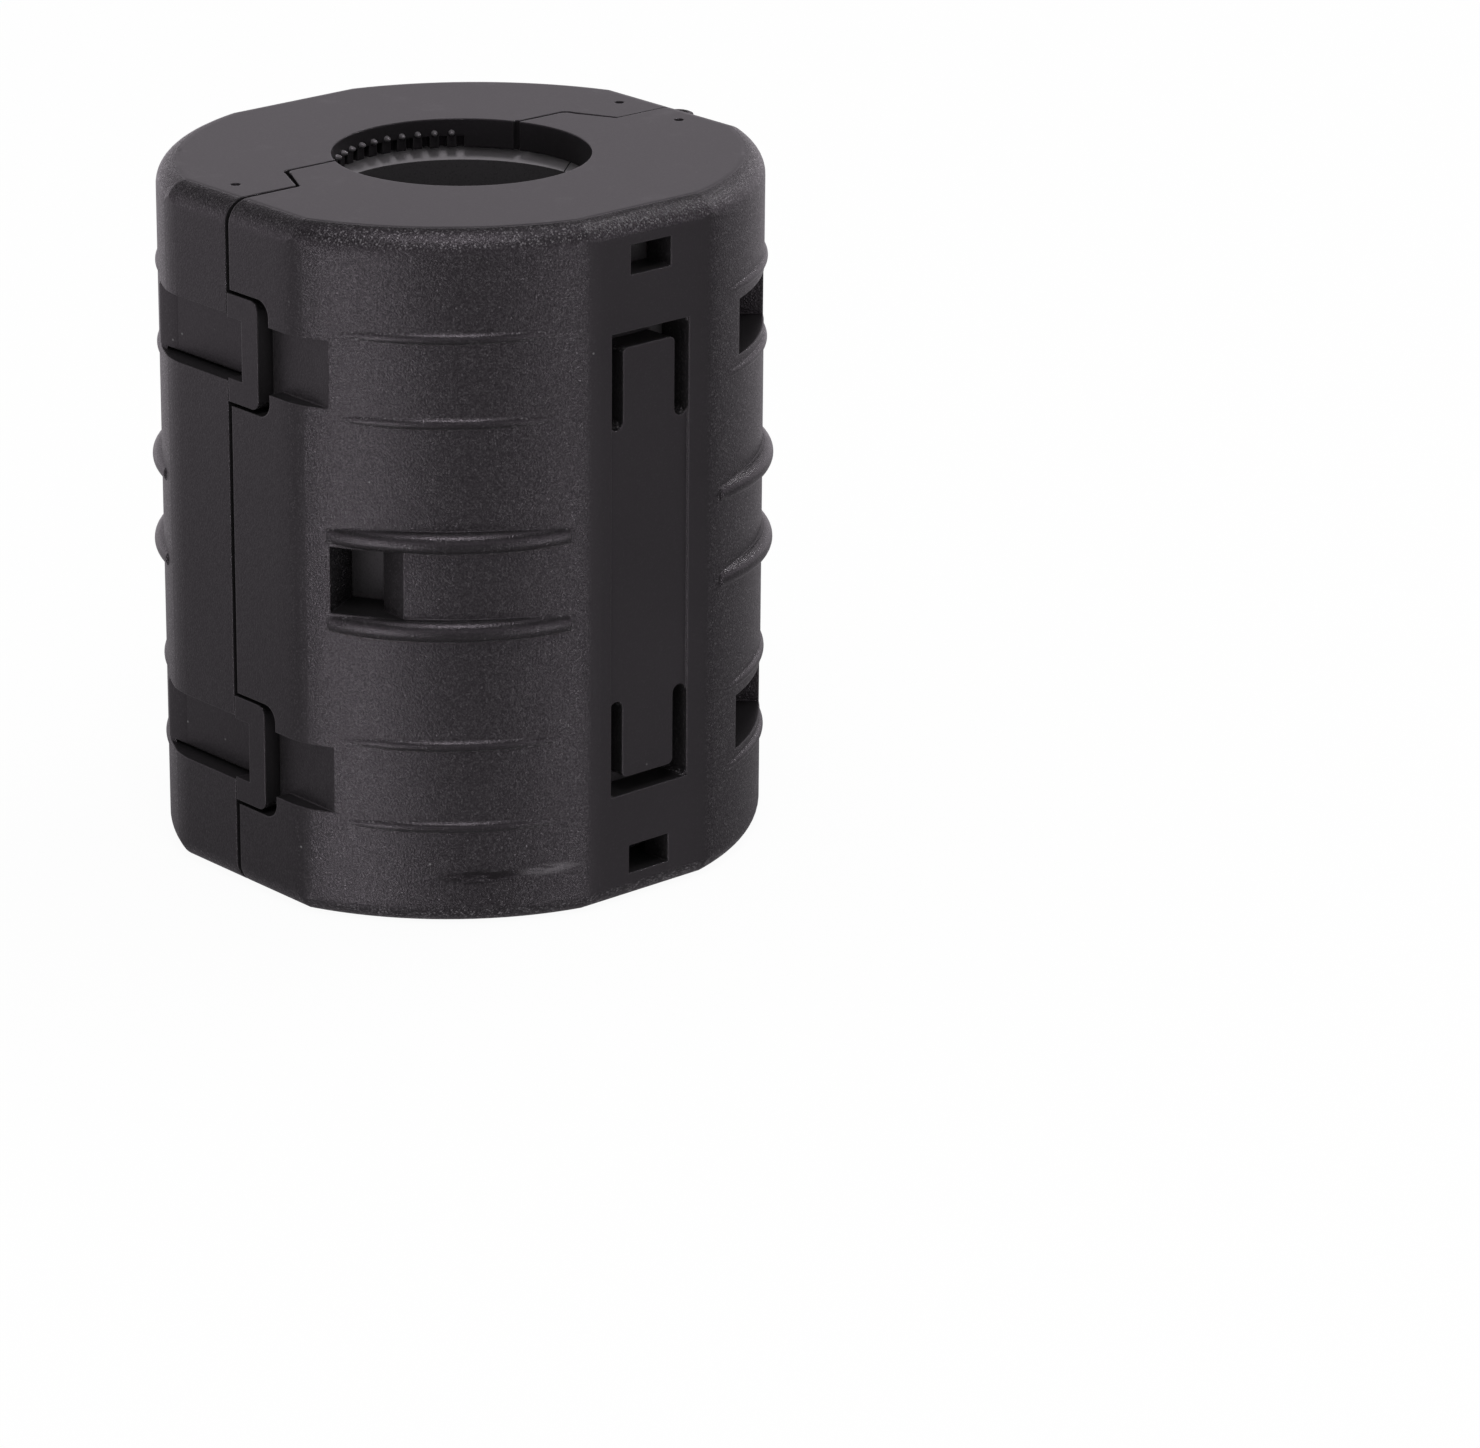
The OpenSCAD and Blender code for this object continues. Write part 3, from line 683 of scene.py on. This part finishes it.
def raysThatSee(tree):
    # rays from the camera, and those that glossy and see-through surfaces send on
    path = put(tree, "LightPath").outputs
    return path["Is Camera Ray"], calc(tree, "MAXIMUM", path["Is Glossy Ray"], path["Is Transmission Ray"])


def makeFloor():
    size = stage["floorSize"] / 2
    mesh = bpy.data.meshes.new("floor")
    corners = [(-size, -size, 0), (size, -size, 0), (size, size, 0), (-size, size, 0)]
    mesh.from_pydata(corners, [], [(0, 1, 2, 3)])
    floor = bpy.data.objects.new("floor", mesh)
    bpy.context.scene.collection.objects.link(floor)
    material = bpy.data.materials.new("paleFloor")
    material.use_nodes = True
    tree = material.node_tree
    tree.nodes.remove(tree.nodes["Principled BSDF"])
    straight, mirrored = raysThatSee(tree)
    place = put(tree, "TexCoord").outputs["Object"]
    away = project(tree, place, stage["behind"])
    level = stage["floorMirror"]
    for start, full, added in stage["behindSteps"]:
        level = calc(tree, "ADD", level, ramp(tree, away, start, full, 0.0, added))
    level = ramp(tree, mirrored, 0.0, 1.0, 1.0, level, smooth=False)
    paper = put(tree, "BsdfDiffuse", {"Color": grey(stage["floorTone"])}).outputs[0]
    colour = blendColour(tree, mirrored, grey(1.0), grey(1.0, stage["mirrorTint"]))
    white = put(tree, "Emission", {"Color": colour, "Strength": level}).outputs[0]
    share = times(tree, calc(tree, "MAXIMUM", straight, mirrored), stage["floorGlow"])
    mixed = put(tree, "MixShader", {0: share, 1: paper, 2: white}).outputs[0]
    tree.links.new(mixed, tree.nodes["Material Output"].inputs["Surface"])
    mesh.materials.append(material)
    floor.visible_shadow = False              # lets the softboxes' light through from below it


def makeSurroundings():
    world = bpy.data.worlds.new("whiteRoom")
    bpy.context.scene.world = world
    world.use_nodes = True
    tree = world.node_tree
    background = tree.nodes["Background"]
    straight, mirrored = raysThatSee(tree)
    colour = blendColour(tree, mirrored, grey(1.0), grey(1.0, stage["mirrorTint"]))
    tree.links.new(colour, background.inputs["Color"])
    height = put(tree, "SeparateXYZ", {0: put(tree, "TexCoord").outputs["Generated"]}).outputs[2]
    edges = [math.sin(math.radians(stage[key])) for key in ("wallTop", "gapFrom", "panelFrom", "panelFull")]
    walls = ramp(tree, height, edges[0], edges[1], stage["wallMirror"], stage["gapMirror"])
    room = calc(tree, "ADD", walls, ramp(tree, height, edges[2], edges[3], 0.0, stage["panelMirror"]))
    level = ramp(tree, mirrored, 0.0, 1.0, stage["fill"], room, smooth=False)
    level = ramp(tree, straight, 0.0, 1.0, level, 1.0, smooth=False)
    tree.links.new(level, background.inputs["Strength"])


def makeLamps():
    aim = Vector(stage["aim"])
    for name, around, up, far, width, height, watts in stage["lamps"]:
        turn, tilt = math.radians(around), math.radians(up)
        away = Vector((-math.sin(turn) * math.cos(tilt), -math.cos(turn) * math.cos(tilt), math.sin(tilt)))
        lamp = bpy.data.lights.new(name, "AREA")
        lamp.shape = "RECTANGLE"
        lamp.size = width
        lamp.size_y = height
        lamp.energy = watts
        lamp.cycles.use_multiple_importance_sampling = False     # else the floor hides the lamps' low half
        holder = bpy.data.objects.new(name, lamp)
        holder.location = aim + away * far
        holder.rotation_euler = (-away).to_track_quat("-Z", "Y").to_euler()
        holder.visible_camera = False
        bpy.context.scene.collection.objects.link(holder)


makeFloor()
makeSurroundings()
makeLamps()
print("stage ready")


# camera at the photographed angle

view = {
    "at": (-191.733 * mm, -231.971 * mm, 115.618 * mm), "turn": (69.8476, -0.5262, -42.0722),
    "lens": 151.453, "sensor": 36.0, "clipStart": 0.01,
}
cameraData = bpy.data.cameras.new("camera")
cameraData.lens = view["lens"]
cameraData.sensor_width = view["sensor"]
cameraData.sensor_fit = "HORIZONTAL"
cameraData.clip_start = view["clipStart"]
camera = bpy.data.objects.new("camera", cameraData)
camera.location = view["at"]
camera.rotation_euler = [math.radians(angle) for angle in view["turn"]]
bpy.context.scene.collection.objects.link(camera)
bpy.context.scene.camera = camera
bpy.context.scene.view_settings.view_transform = "Standard"
print("camera ready")
